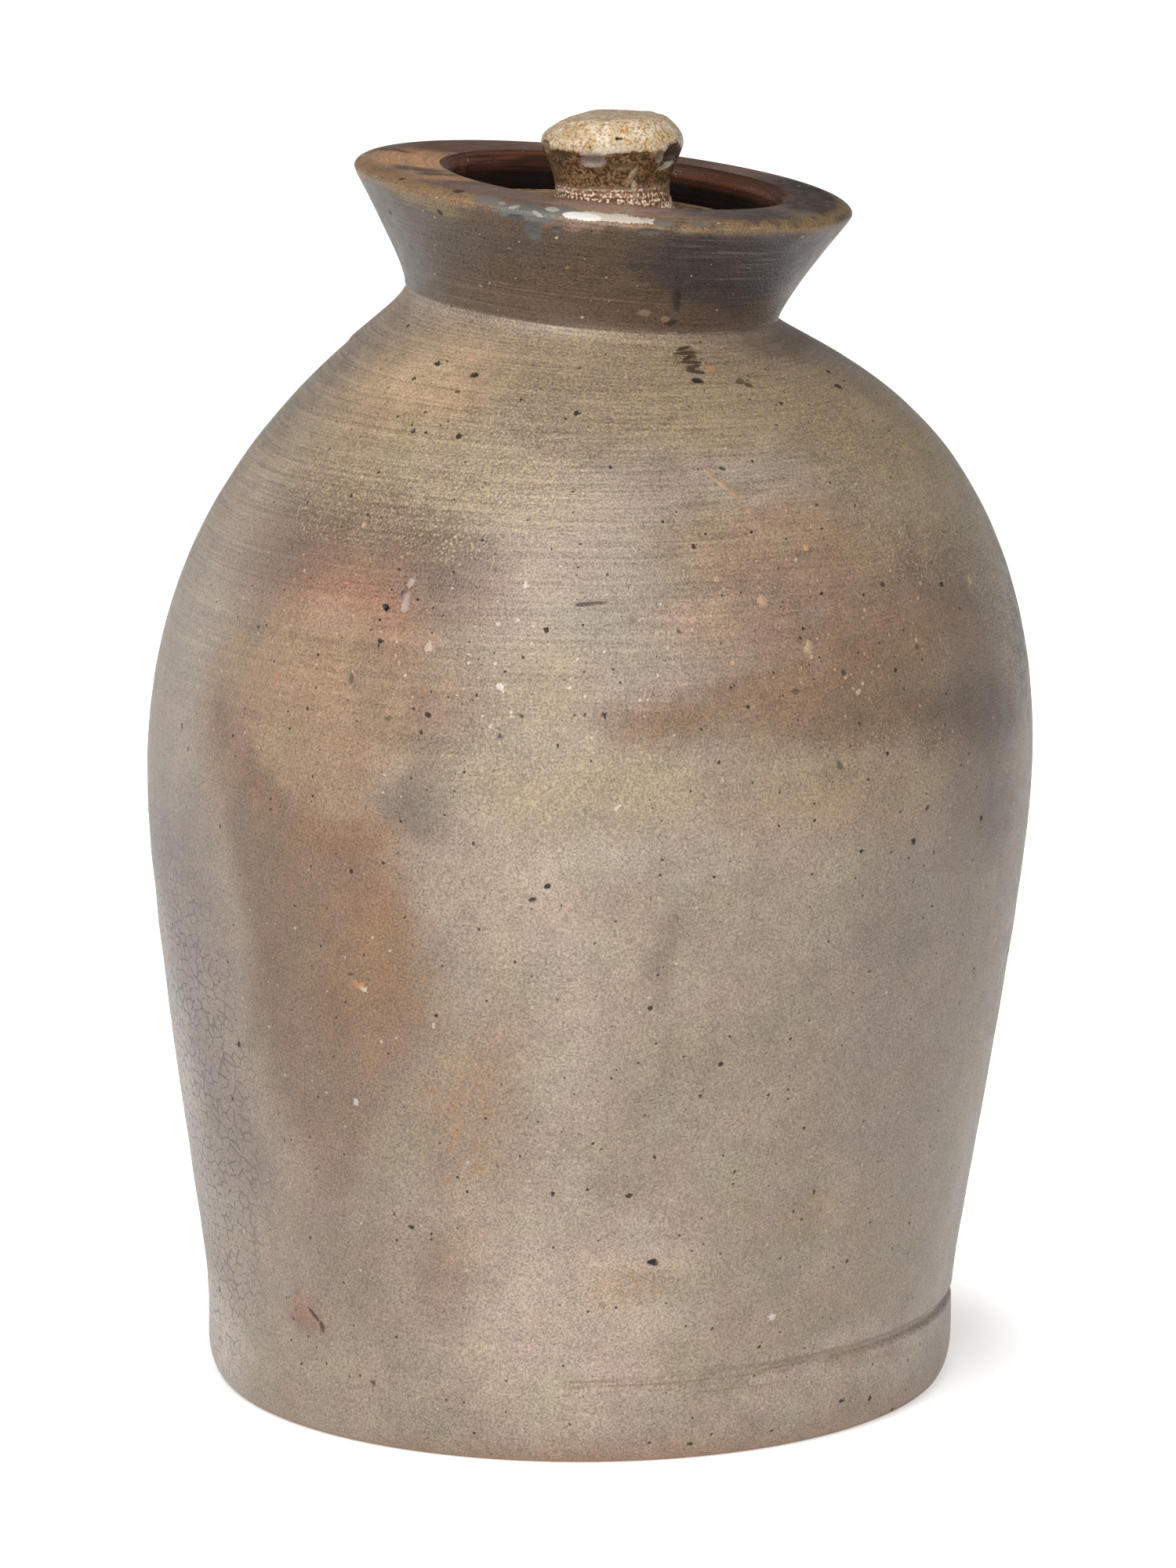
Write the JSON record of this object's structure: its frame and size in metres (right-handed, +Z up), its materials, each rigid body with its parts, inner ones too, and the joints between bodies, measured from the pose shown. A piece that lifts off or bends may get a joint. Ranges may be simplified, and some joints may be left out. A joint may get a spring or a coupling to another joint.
{
  "type": "stoneware preserve jar",
  "caption": "Slumped, round-shouldered stoneware preserve jar with a flared collar and a loose knobbed lid that rests on a ledge inside the mouth.",
  "frame": {"origin": "centre of the foot, on the ground that the jar stands on", "axes": "+Z up; -Y is the side that faces the viewer in the picture; the collar leans towards +X"},
  "size_m": [0.218, 0.218, 0.3138],
  "materials": {
    "salt_glazed_stoneware": "thin salt glaze over grey-buff clay, flashed brown and orange, with dark pits; red-brown slip inside",
    "lid_stoneware": "olive-brown glaze on the knob, worn to freckled buff on its crown, and bare clay at its foot"
  },
  "bodies": {
    "root": {"jar": "salt_glazed_stoneware", "lid": "lid_stoneware"}
  },
  "joints": []
}
